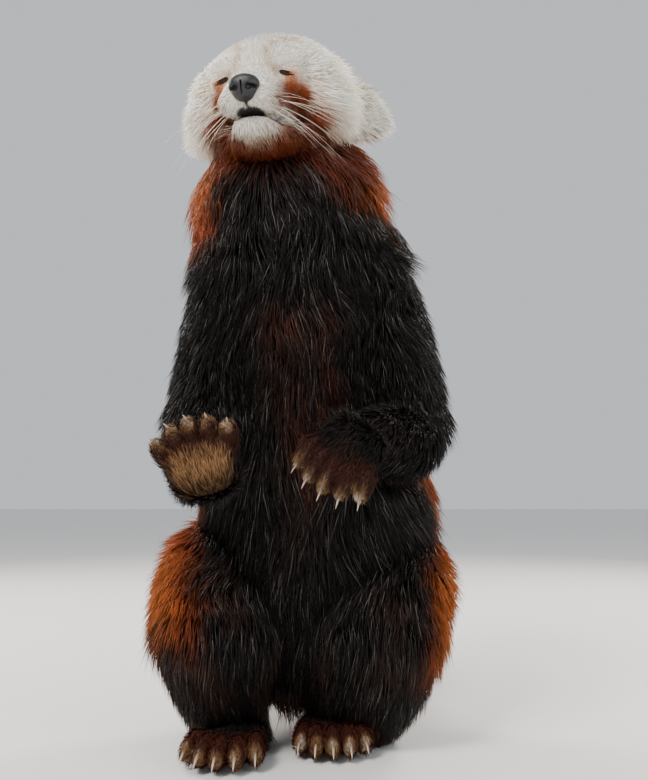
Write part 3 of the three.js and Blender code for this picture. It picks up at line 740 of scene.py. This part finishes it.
coatSettings = {"cloud": 34.0, "grain": 900.0, "rough": 0.40, "bump": 0.25, "gloss": 0.2}
skinSettings = {"cloud": 34.0, "grain": 700.0, "rough": 0.6, "bump": 0.5, "gloss": 0.2}
coatMaterial = furMaterial("coat", coatSettings)
skinMaterial = furMaterial("skin", skinSettings)


def addMarks(obj, colours):
    layer = obj.data.color_attributes.new("marks", "FLOAT_COLOR", "POINT")
    rgba = np.concatenate([colours, np.ones((len(colours), 1))], 1).astype(np.float32)
    layer.data.foreach_set("color", rgba.ravel())


# Painted shade: the skin under the coat is darkened, as it lies in shade between the hairs.
paintedShadeUnderCoat = 0.55
flesh = [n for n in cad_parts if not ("claw" in n or n == "nose" or n.startswith("eye"))]
skin = meshFrom("skin", verts, quads)
addMarks(skin, skinColours * paintedShadeUnderCoat)
skin.data.materials.append(skinMaterial)
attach(skin, "root")
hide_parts(*flesh)


# Roots spread over the skin by area and by how dense the coat is there.
tri = np.vstack([quads[:, [0, 1, 2]], quads[:, [0, 2, 3]]])
corners = verts[tri]
areas = np.linalg.norm(np.cross(corners[:, 1] - corners[:, 0], corners[:, 2] - corners[:, 0]), axis=1) / 2
centres = corners.mean(1)


# Each point's nearest limb, and for every limb its distance, share and direction there
def regionOf(p):
    table = [(limb, *limb.around(p)) for limb in limbs]
    order = np.argmin(np.stack([row[1] for row in table]), axis=0)
    return np.array([limb.name.split("_toe")[0] for limb in limbs])[order], table


# Tufts to each square millimetre
densities = {
    "trunk": 0.225, "neck": 0.24, "tail": 0.23, "upper_arm": 0.26, "forearm": 0.33, "thigh": 0.24,
    "shin": 0.26, "forepaw": 0.58, "hind_foot": 0.5, "ear": 0.65, "head": 0.47, "jaw": 0.85, "face": 1.25,
}
quickShare = 1.0
faceRegion, _ = regionOf(centres)
faceRegion[(faceRegion == "head") & (headLocal(centres)[:, 1] < -30)] = "face"
density = np.zeros(len(centres))
for key, value in densities.items():
    density[np.char.startswith(faceRegion, key)] = value
amount = areas * density * quickShare
pick = np.searchsorted(np.cumsum(amount) / amount.sum(), rng.random(int(amount.sum())))
u, v = rng.random((2, len(pick)))
over = u + v > 1
u[over], v[over] = 1 - u[over], 1 - v[over]
weights = np.stack([1 - u - v, u, v], 1)
roots = np.einsum("ij,ijk->ik", weights, corners[pick])
normals = unit(np.einsum("ij,ijk->ik", weights, skinNormals[tri[pick]]))
# No tufts under what stands on the floor
keep = ~((roots[:, 2] < 1.5) & (normals[:, 2] < -0.6))
roots, normals = roots[keep], normals[keep]
regions, table = regionOf(roots)
print("roots", len(roots))


def alongSkin(v, normal):
    return v - dots(v, normal)[:, None] * normal


# Flow and depth, blended between the limbs that are near. The head's coat runs away from a point
# before the nose, and the cheeks' coat fans out and down.
flowSettings = {
    "start": (0, -112, -20), "fan": 1.2, "blend": 6.5, "headWeight": 1.6, "earWeight": 2.0, "earFan": 0.8,
    "armDrop": 0.7, "drop": 0.05, "swirl": 0.5, "swirlSize": 55, "eye": (30, -64, -4), "eyeWide": 1.3,
}
# Places in the head's own frame
q = headLocal(roots)
qx, qy, qz = q.T
qSide = np.abs(qx)
fan = np.stack([
    np.sign(qx) * ramp(qSide, 8, 40) * ramp(-qz, -14, 22),
    np.full(len(q), 0.25),
    -0.75 * ramp(-qz, -18, 24),
], 1)
cheekShare = ramp(qSide, 22, 44) * ramp(-qz, -24, 6) * ramp(qy, -62, -34)
headFlow = unit(unit(q - flowSettings["start"]) + fan * (flowSettings["fan"] * cheekShare)[:, None])
headFlow[:, 2] -= 0.35 * ramp(-qz, 30, 50) + 0.8 * ramp(qy, 24, 56)
faceDepth = coat["muzzle"] + (coat["crown"] - coat["muzzle"]) * ramp(qy, -74, -8)
faceDepth += (coat["cheek"] - faceDepth) * cheekShare
faceDepth += (coat["nape"] - faceDepth) * ramp(qy, 8, 44)
fromEye = (np.stack([qSide, qy, qz], 1) - flowSettings["eye"]) / [flowSettings["eyeWide"], 1, 1]
eyeShare = ramp(np.linalg.norm(fromEye, axis=1), 8, 22)
faceDepth = coat["eye"] + (faceDepth - coat["eye"]) * eyeShare
throatShare = ramp(-qz, 50, 58) * ramp(qy, -80, -60)
chinDepth = coat["chin"] + (coat["throat"] - coat["chin"]) * throatShare
lipShare = ramp(-mouthGap(q), -5, -1) * ramp(-qy, 50, 60)
faceDepth += (coat["lip"] - faceDepth) * lipShare
chinDepth += (coat["lip"] - chinDepth) * lipShare
flow = np.zeros_like(roots)
depth = np.zeros(len(roots))
weightSum = np.zeros(len(roots))
for limb, far, share, way in table:
    weight = np.exp(-np.clip(far, -4, 60) / flowSettings["blend"])
    weight[far > 60] = 0
    if limb.name in ("head", "jaw"):
        way = headWay(headFlow)
        deep = faceDepth if limb.name == "head" else chinDepth
        weight *= flowSettings["headWeight"]
    else:
        deep = furDepth(limb, share)
    if limb.name in ears:
        ear = ears[limb.name]
        across = np.cross(ear["along"], ear["inward"])
        r = (roots - ear["root"]) @ across
        spread = flowSettings["earFan"] * np.sign(r) * ramp(np.abs(r), 6, 22)
        way = way + spread[:, None] * across
        weight *= flowSettings["earWeight"]
    if limb.name in ("trunk", "neck"):
        way = -way
    if "arm_" in limb.name:
        way = way - [0, 0, flowSettings["armDrop"]]
    flow += weight[:, None] * way
    depth += weight * deep
    weightSum += weight
depth /= weightSum
flow[:, 2] -= flowSettings["drop"] * weightSum
swirl = np.stack([wave(roots, flowSettings["swirlSize"], seed) for seed in (31, 37, 41)], 1)
flow = unit(flow) + (flowSettings["swirl"] * ramp(depth, 5, 14))[:, None] * swirl
flow = unit(alongSkin(flow, normals))
colours = markings(roots, normals)
print("flow laid")

# No fur grows on the lips, the cleft under the nose or the nose itself.
bare = (mouthGap(q) < 1.2) & (qy < -48) & (qSide < 24)
bare |= (qSide < 1.5) & (qy < -82) & (qz < -27) & (qz > mouthHeight)
bare |= np.linalg.norm((q - noseSpot) / [12.5, 10, 11], axis=1) < 1
bare &= np.isin(regions, ["head", "jaw"])

# Tips gather towards shared points, so the coat breaks into locks.
lockSettings = {"spacing": 0.5, "reach": 1.3, "tone": 0.13, "length": 0.08}
lockSpacing = np.clip(depth * lockSettings["spacing"], 2.0, 11)
chance = 1 / np.clip(lockSpacing ** 2 * np.where(depth > 8, 0.25, 0.9), 4, None)
leader = np.flatnonzero(rng.random(len(roots)) < chance)
tree = kdtree.KDTree(len(leader))
for i, k in enumerate(leader):
    tree.insert(roots[k], i)
tree.balance()
lead = leader[np.array([tree.find(r)[1] for r in roots])]
lockPull = alongSkin(roots[lead] - roots, normals)
pullLength = np.maximum(np.linalg.norm(lockPull, axis=1), 1e-6)
lockPull *= np.minimum(1, lockSpacing * lockSettings["reach"] / pullLength)[:, None]
lockTone = 1 + lockSettings["tone"] * rng.normal(size=len(roots))[lead]
lockLength = 1 + lockSettings["length"] * rng.normal(size=len(roots))[lead]
print("locks gathered")


# Faces between rings of points, and from the last ring to the one point that follows it
def ringFaces(sides, rings, first=0):
    faces = []
    for i in range(rings):
        for k in range(sides):
            a, b = first + i * sides + k, first + i * sides + (k + 1) % sides
            if i < rings - 1:
                faces += [[a, b, b + sides], [a, b + sides, a + sides]]
            else:
                faces.append([a, b, first + rings * sides])
    return faces


# Every tuft is a closed three-sided blade that rises from its root and bends over to lie along the flow.
# Rise is in degrees, and pale hair gathers a little differently from dark hair and gets lighter painted
# shade.
tuftSettings = {
    "shortRise": 34, "longRise": 52, "tipRise": 3, "stray": 0.13, "roll": 0.5, "sunk": 0.6,
    "widen": 0.024, "taper": (1.0, 0.85, 0.6), "gather": 0.42, "paleGather": 0.22,
    "rootShade": 0.5, "paleRootShade": 0.86, "tipShade": 1.14, "paleTipShade": 1.10,
    "glints": 0.12, "glintTone": (1.0, 0.9, 0.82), "glintWidth": 0.55,
}
# Kinds of hair: where the rings lie on a tuft's length, and its width before it widens with the depth
hairKinds = {
    "fine": {"rings": (0.0, 0.5), "width": 0.5},
    "coarse": {"rings": (0.0, 0.5), "width": 0.62},
    "long": {"rings": (0.0, 0.34, 0.68), "width": 0.62},
}


def tufts(name, chosen, kind):
    s = tuftSettings
    n, rings = len(chosen), len(kind["rings"])
    p, up, fw = roots[chosen], normals[chosen], flow[chosen]
    fw = fw + rng.normal(size=(n, 3)) * s["stray"]
    fw = unit(alongSkin(fw, up))
    deep = depth[chosen]
    tall = deep * np.clip(lockLength[chosen] + 0.1 * rng.normal(size=n), 0.6, 1.15)
    rise = s["shortRise"] + (s["longRise"] - s["shortRise"]) * ramp(deep, 3, 12)
    start = np.radians(rise) * (0.8 + 0.4 * rng.random(n))
    tipRise = math.radians(s["tipRise"])
    bend = start - tipRise
    length = tall / ((math.cos(tipRise) - np.cos(start)) / bend)
    width = (kind["width"] + s["widen"] * deep) * (0.75 + 0.5 * rng.random(n))
    rolled = rng.normal(size=n)[:, None] * s["roll"]
    sideways = np.cross(up, fw)
    base = colours[chosen]
    pale = ramp(base.mean(1), 0.15, 0.6)
    bright = 1 + (lockTone[chosen] - 1 + 0.16 * rng.normal(size=n)) * (1 - 0.5 * pale)
    # Painted highlights: some tufts in deep dark coat turn pale grey towards the tip, partly pale guard
    # hairs and partly the sheen of the black coat.
    dark = ramp(-base.mean(1), -0.05, -0.02) * (deep > 6)
    glint = rng.random(n) < s["glints"] * dark
    shine = 0.3 + 0.7 * rng.random(n)
    width[glint] *= s["glintWidth"]
    rootShade = s["rootShade"] + (s["paleRootShade"] - s["rootShade"]) * pale
    tipShade = s["tipShade"] + (s["paleTipShade"] - s["tipShade"]) * pale
    gather = s["gather"] + s["paleGather"] * pale
    points, hairTones = [], []
    for i, t in enumerate([*kind["rings"], 1.0]):
        angle = start - bend * t
        forward = (np.sin(start) - np.sin(angle)) / bend * length
        height = (np.cos(angle) - np.cos(start)) / bend * length - s["sunk"]
        centre = p + fw * forward[:, None] + up * height[:, None]
        centre += lockPull[chosen] * (gather * t ** 1.5)[:, None]
        # Painted shade: each tuft is darker at its root, where shade falls between the hairs, and lighter
        # at its tip.
        tone = base * (bright * (rootShade * (1 - t) + tipShade * t))[:, None]
        tone[glint] = (shine[glint] * (0.04 + 0.22 * t))[:, None] * s["glintTone"]
        if t == 1.0:
            points.append(centre)
            hairTones.append(tone)
            continue
        ridge = -np.sin(angle)[:, None] * fw + np.cos(angle)[:, None] * up
        flat = np.cos(rolled) * sideways + np.sin(rolled) * ridge
        ridge = np.cross(fw, flat)
        half = (width * s["taper"][i] / 2)[:, None]
        points += [centre + flat * half, centre + ridge * half * 0.8, centre - flat * half]
        hairTones += [tone] * 3
    points = np.stack(points, 1)
    points[..., 2] = np.maximum(points[..., 2], 0.5)
    faces = [[2, 1, 0], *ringFaces(3, rings)]
    every = (np.arange(n) * points.shape[1])[:, None, None] + np.array(faces)[None]
    obj = meshFrom(name, points.reshape(-1, 3), every.reshape(-1, 3))
    addMarks(obj, np.clip(np.stack(hairTones, 1).reshape(-1, 3), 0.003, 1))
    obj.data.materials.append(coatMaterial)
    unwrap(obj, chosen, rings)
    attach(obj, "root")
    print(name, n, "tufts", len(every) * len(faces), "triangles")


# Each tuft's patch lies where its root is on the skin unrolled round its own limb.
def unrolled(chosen):
    p = roots[chosen]
    names = regions[chosen]
    out = np.zeros((len(chosen), 2))
    for limb in limbs:
        same = names == limb.name
        if not same.any():
            continue
        _, share, way = limb.measure(p[same])
        front = unit(limb.front - (way @ limb.front)[:, None] * way)
        side = np.cross(way, front)
        at = np.interp(share, limb.reach / limb.reach[-1], np.arange(len(limb.rows)))
        k = np.clip(at.astype(int), 0, len(limb.rows) - 2)
        centre = limb.rows[k, :3] + (limb.rows[k + 1, :3] - limb.rows[k, :3]) * (at - k)[:, None]
        x, y, z = (dots(p[same] - centre, axis) for axis in (side, front, way))
        turn = np.arctan2(x, y) / (2 * math.pi) + 0.5
        out[same] = np.stack([turn, (share + z / limb.reach[-1] + 0.25) / 1.5], 1)
    return out


patchSize = 0.003


def unwrap(obj, chosen, rings):
    uv = unrolled(chosen)
    names = regions[chosen]
    kinds = sorted(set(names))
    strip = np.searchsorted(kinds, names)
    uv[:, 0] = (strip + 0.02 + 0.96 * np.clip(uv[:, 0], 0, 1)) / len(kinds)
    uv[:, 1] = 0.01 + 0.97 * np.clip(uv[:, 1], 0, 1)
    offsets = [[k / 2, i / rings] for i in range(rings) for k in range(3)] + [[0.5, 1]]
    spots = uv[:, None] + patchSize * np.array(offsets)[None]
    flat = spots.reshape(-1, 2).astype(np.float32)
    layer = obj.data.uv_layers.new(name="OFBake")
    index = np.zeros(len(obj.data.loops), np.int32)
    obj.data.loops.foreach_get("vertex_index", index)
    layer.data.foreach_set("uv", flat[index].ravel())


mostTriangles = 198000
onHead = regions == "head"
onTrunk = regions == "trunk"
onFace = onHead & (qy < -34)
isRight = roots[:, 0] < 0
frontSide = roots[:, 1] < 18
upper = roots[:, 2] > 285


def inRegion(*names):
    return np.logical_or.reduce([np.char.startswith(regions, n) for n in names])


pieces = {
    "coat_face_right": (onFace & (qx < 0), "fine", "cream_fur"),
    "coat_face_left": (onFace & (qx >= 0), "fine", "cream_fur"),
    "coat_head": (onHead & ~onFace, "long", "cream_fur"),
    "coat_jaw": (regions == "jaw", "fine", "cream_fur"),
    "coat_ears": (inRegion("ear"), "fine", "cream_fur"),
    "coat_neck": (regions == "neck", "long", "rust_fur"),
    "coat_chest": (onTrunk & frontSide & upper, "coarse", "black_fur"),
    "coat_belly": (onTrunk & frontSide & ~upper, "coarse", "black_fur"),
    "coat_shoulders": (onTrunk & ~frontSide & upper, "coarse", "rust_fur"),
    "coat_rump": (onTrunk & ~frontSide & ~upper, "coarse", "rust_fur"),
    "coat_arm_right": (inRegion("upper_arm", "forearm") & isRight, "coarse", "black_fur"),
    "coat_arm_left": (inRegion("upper_arm", "forearm") & ~isRight, "coarse", "black_fur"),
    "coat_leg_right": (inRegion("thigh", "shin") & isRight, "coarse", "black_fur"),
    "coat_leg_left": (inRegion("thigh", "shin") & ~isRight, "coarse", "black_fur"),
    "coat_forepaws": (inRegion("forepaw"), "fine", "black_fur"),
    "coat_hind_feet": (inRegion("hind_foot"), "fine", "black_fur"),
    "coat_tail": (regions == "tail", "long", "rust_fur"),
}
for name, (mask, hair, slot) in pieces.items():
    chosen = np.flatnonzero(mask & ~bare)
    limit = mostTriangles // (6 * len(hairKinds[hair]["rings"]) - 2)
    if len(chosen) > limit:
        chosen = rng.permutation(chosen)[:limit]
        print(name, "held to", limit)
    tufts(name, chosen, hairKinds[hair])


# Nose pad and closed lids come from their own finer fields.
def fineSolid(name, distance, centre, size, step, rounds):
    count = np.ceil(2 * np.array(size) / step).astype(int)
    axes = [np.arange(n + 1) * step - s for n, s in zip(count, size)]
    grid = np.stack(np.meshgrid(*axes, indexing="ij"), -1)
    values = distance(grid.reshape(-1, 3)).reshape(grid.shape[:3])
    points, faces = surfaceNet(values, -np.array(size, float), step)
    points = relax(points.astype(float), faces, rounds, 0.4)
    return meshFrom(name, centre + points @ headMatrix.T, faces)


def noseForm(q):
    side = np.abs(q[:, 0])
    d = ellipsoid(q, (0, 0.5, 1.6), (13.2, 9.0, 8.8))
    d = smoothUnion(d, ellipsoid(q, (0, 1.0, -4.4), (9.4, 8.4, 7.4)), 3)
    mirror = np.stack([side, q[:, 1], q[:, 2]], 1)
    hole = ellipsoid(mirror, (5.8, -7.6, -2.2), (2.9, 5.0, 2.4))
    comma = ellipsoid(mirror, (9.8, -4.4, -1.8), (4.2, 4.2, 1.3))
    d = smoothCut(d, smoothUnion(hole, comma, 1.0), 0.8)
    groove = np.maximum(side - 0.4, np.maximum(q[:, 2] - 2.5, -q[:, 2] - 20))
    return smoothCut(d, np.maximum(groove, q[:, 1] + 5.4), 0.9)


noseSettings = {
    "base": (0.005, 0.005, 0.006, 1), "light": (0.016, 0.016, 0.018, 1), "cells": 620.0, "bump": 0.6,
}


def noseMaterial(settings):
    g = Graph("nose")
    edge = {"feature": "DISTANCE_TO_EDGE"}
    cells = g.node("ShaderNodeTexVoronoi", edge, g.place, Scale=settings["cells"])
    cloud = g.noise(160.0, 3.0)
    g.set(Base_Color=g.mix(cloud, settings["base"], settings["light"]), Roughness=0.30 + cloud * 0.25)
    g.relief(settings["bump"], 0.0006, cells)
    return g.material


nose = fineSolid("nose_pad", noseForm, headPoint(noseSpot), (15, 13, 15), 0.6, 3)
nose.data.materials.append(noseMaterial(noseSettings))
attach(nose, "root")
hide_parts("nose")

# Closed lids: thin dark rims along a slit that droops in the middle
lidSettings = {
    "centre": (30.0, -61.5, -5.5), "radii": (9.4, 5.7, 2.3), "turn": (-12, 14, 28), "slit": 8.4,
    "brown": 0.85, "rim": (0.010, 0.007, 0.006), "rimWidth": 2.1,
}


def lidMaterial():
    g = Graph("lid")
    creases = g.noise(700.0, 3.0)
    dark = g.mix(1.0, g.marks(), (0.5, 0.5, 0.5, 1), "MULTIPLY")
    g.set(Base_Color=g.mix(creases * 0.5, g.marks(), dark), Roughness=0.75)
    g.surface.inputs["Specular IOR Level"].default_value = 0.15
    g.relief(0.5, 0.0006, creases)
    return g.material


lidTone = lidMaterial()
lean, yaw, roll = (math.radians(a) for a in lidSettings["turn"])


def slitHeight(x):
    return 0.6 - 1.8 * (1 - (x / 9) ** 2)


for name, side in (("eye_right", -1), ("eye_left", 1)):
    turn = np.array(Euler((lean, side * yaw, side * roll), "XYZ").to_matrix())
    centre = np.array(lidSettings["centre"]) * [side, 1, 1]

    def lidForm(q):
        r = q @ turn
        level = r[:, 2] - slitHeight(r[:, 0])
        d = ellipsoid(np.stack([r[:, 0], r[:, 1], level], 1), np.zeros(3), lidSettings["radii"])
        slit = np.maximum(np.abs(level) - 0.55, np.abs(r[:, 0]) - lidSettings["slit"])
        return smoothCut(d, np.maximum(slit, r[:, 1] + 3.8), 0.5)

    lid = fineSolid(f"closed_{name}", lidForm, headPoint(centre), (13, 10, 9), 0.55, 1)
    points = np.empty(len(lid.data.vertices) * 3)
    lid.data.vertices.foreach_get("co", points)
    points = points.reshape(-1, 3) * 1000 - shift
    r = (headLocal(points) - centre) @ turn
    near = bump(r[:, 2], slitHeight(r[:, 0]), lidSettings["rimWidth"])
    near = near * (np.abs(r[:, 0]) < lidSettings["slit"] + 0.4)
    base = markings(points, unit(points - headPoint(centre)))
    base += (tones["brown"] - base) * lidSettings["brown"]
    addMarks(lid, base + (lidSettings["rim"] - base) * near[:, None])
    lid.data.materials.append(lidTone)
    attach(lid, "root")
    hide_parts(name)

# Claws: curved horn, flatter at the sides and pale towards the tip
clawSettings = {
    "length": 9.5, "thick": 2.1, "point": 0.16, "flat": 0.72, "hook": 0.45, "sides": 12, "rings": 12,
    "rootTone": (0.20, 0.12, 0.07), "tipTone": (0.72, 0.62, 0.48),
}


def clawMaterial():
    g = Graph("claw")
    lines = g.noise(420.0, 4.0)
    dark = g.mix(1.0, g.marks(), (0.62, 0.55, 0.48, 1), "MULTIPLY")
    g.set(Base_Color=g.mix(lines, g.marks(), dark), Roughness=0.25 + lines * 0.2)
    g.relief(0.3, 0.0005, lines)
    return g.material


clawTone = clawMaterial()
rootTone, tipTone = np.array(clawSettings["rootTone"]), np.array(clawSettings["tipTone"])
sides, rings, length = clawSettings["sides"], clawSettings["rings"], clawSettings["length"]
for name, (root, way, down) in claws.items():
    across = np.cross(way, down)
    points, hornTones = [], []
    for i in range(rings):
        s = i / (rings - 1)
        centre = root + way * (s * 1.12 - 0.12) * length + down * clawSettings["hook"] * s * s * length
        thick = clawSettings["point"] + clawSettings["thick"] * (1 - s) ** 0.8
        flat = across * thick * clawSettings["flat"]
        lift = np.cross(across, unit(way + down * 0.9 * s)) * thick
        for k in range(sides):
            a = 2 * math.pi * k / sides
            points.append(centre + flat * math.cos(a) + lift * math.sin(a))
            hornTones.append(rootTone * (1 - s) + tipTone * s)
    points += [root + way * length * 1.02 + down * 0.46 * length, root - way * 0.14 * length]
    hornTones += [tipTone, rootTone]
    faces = ringFaces(sides, rings)
    faces += [[(k + 1) % sides, k, rings * sides + 1] for k in range(sides)]
    obj = meshFrom(f"horn_{name}", np.array(points), np.array(faces))
    addMarks(obj, np.array(hornTones))
    obj.data.materials.append(clawTone)
    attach(obj, "root")
    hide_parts(name)
print("nose, lids and claws made")


# Whiskers: long, thin, curved and white, in four rows on each side
whiskerSettings = {
    "perSide": 14, "rows": 4, "shortest": 36, "spread": 34, "thick": 0.19, "tip": 0.05, "rings": 8,
    "sunk": 3,
}


def whiskers(settings):
    points, faces = [], []
    draw = np.random.default_rng(5)
    rings = settings["rings"]
    for i in range(2 * settings["perSide"]):
        side = -1 if i < settings["perSide"] else 1
        col, row = divmod(i % settings["perSide"], settings["rows"])
        col += 1
        start = np.array([side * (11 + 1.9 * col), -90 + 4.2 * col, -27 - 3.2 * row - 0.5 * col])
        start = start + draw.normal(size=3) * 0.7
        length = settings["shortest"] + settings["spread"] * draw.random() + 3.0 * col
        back, rise = 0.1 * draw.normal(), 0.12 * draw.normal()
        way = [side * (0.9 + 0.1 * col), -0.15 + 0.12 * col + back, -0.12 - 0.14 * row + rise]
        way = unit(np.array(way))
        sag = unit(np.array([0, 0.75, -0.65]) + 0.3 * draw.normal(size=3))
        bend = 0.3 + 0.35 * draw.random()
        across = unit(np.cross(way, sag))
        up = np.cross(way, across)
        start = start - way * settings["sunk"]
        first = len(points)
        for k in range(rings):
            s = k / rings
            centre = start + way * length * s + sag * length * bend * s * s
            thick = settings["thick"] * (1 - s) + settings["tip"]
            for a in (0, 2.094, 4.189):
                points.append(headPoint(centre + (across * math.cos(a) + up * math.sin(a)) * thick))
        points.append(headPoint(start + way * length + sag * length * bend))
        faces += ringFaces(3, rings, first)
        faces.append([first + 2, first + 1, first])
    return meshFrom("whiskers", np.array(points), np.array(faces))


def whiskerMaterial():
    g = Graph("whisker")
    tint = g.noise(60.0, 2.0)
    g.set(Base_Color=g.mix(tint, (0.9, 0.86, 0.78, 1), (0.7, 0.62, 0.5, 1)), Roughness=0.3 + tint * 0.1)
    return g.material


whisker = whiskers(whiskerSettings)
whisker.data.materials.append(whiskerMaterial())
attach(whisker, "root")
print("whiskers made")


# Floor, lights and camera
def floorMaterial():
    g = Graph("floor")
    pale = g.mix(g.noise(2.0, 3.0), (0.74, 0.73, 0.71, 1), (0.80, 0.79, 0.77, 1))
    g.set(Base_Color=pale, Roughness=0.7)
    return g.material


bpy.ops.mesh.primitive_plane_add(size=30, location=(0, 0, 0))
floor = bpy.context.object
floor.name = "floor"
floor.data.materials.append(floorMaterial())

sky = {"Color": (0.92, 0.95, 1.0, 1), "Strength": 0.72}
world = bpy.data.worlds.new("studio")
bpy.context.scene.world = world
world.use_nodes = True
for key, value in sky.items():
    world.node_tree.nodes["Background"].inputs[key].default_value = value

lights = {
    "key": {"at": (-0.9, -1.5, 1.9), "size": 0.7, "power": 62, "colour": (1.0, 0.96, 0.9)},
    "fill": {"at": (1.7, -1.3, 0.9), "size": 1.4, "power": 20, "colour": (0.96, 0.97, 1.0)},
    "rim_left": {"at": (1.1, 1.3, 1.3), "size": 0.6, "power": 34, "colour": (1.0, 0.93, 0.82)},
    "rim_right": {"at": (-1.2, 1.1, 1.2), "size": 0.6, "power": 30, "colour": (1.0, 0.94, 0.85)},
}
middle = Vector(toRow(np.array([0, 20, 330.0])))
for name, s in lights.items():
    lamp = bpy.data.lights.new(name, "AREA")
    lamp.size, lamp.energy, lamp.color = s["size"], s["power"], s["colour"]
    obj = bpy.data.objects.new(name, lamp)
    obj.location = Vector(s["at"]) + middle * Vector((1, 1, 0))
    obj.rotation_euler = (middle - obj.location).to_track_quat("-Z", "Y").to_euler()
    bpy.context.scene.collection.objects.link(obj)

cameraSpot = {"at": (16.5, -780.0, 205.0), "pitch": 6.8, "focal": 900.0, "frame": 780.0}
lens = bpy.data.cameras.new("camera")
lens.sensor_fit = "AUTO"
lens.sensor_width = 36
lens.lens = cameraSpot["focal"] / cameraSpot["frame"] * lens.sensor_width
lens.clip_start = 0.02
camera = bpy.data.objects.new("camera", lens)
camera.location = toRow(np.array(cameraSpot["at"]))
camera.rotation_euler = (math.radians(90 + cameraSpot["pitch"]), 0, 0)
bpy.context.scene.collection.objects.link(camera)
bpy.context.scene.camera = camera
print("stage set")
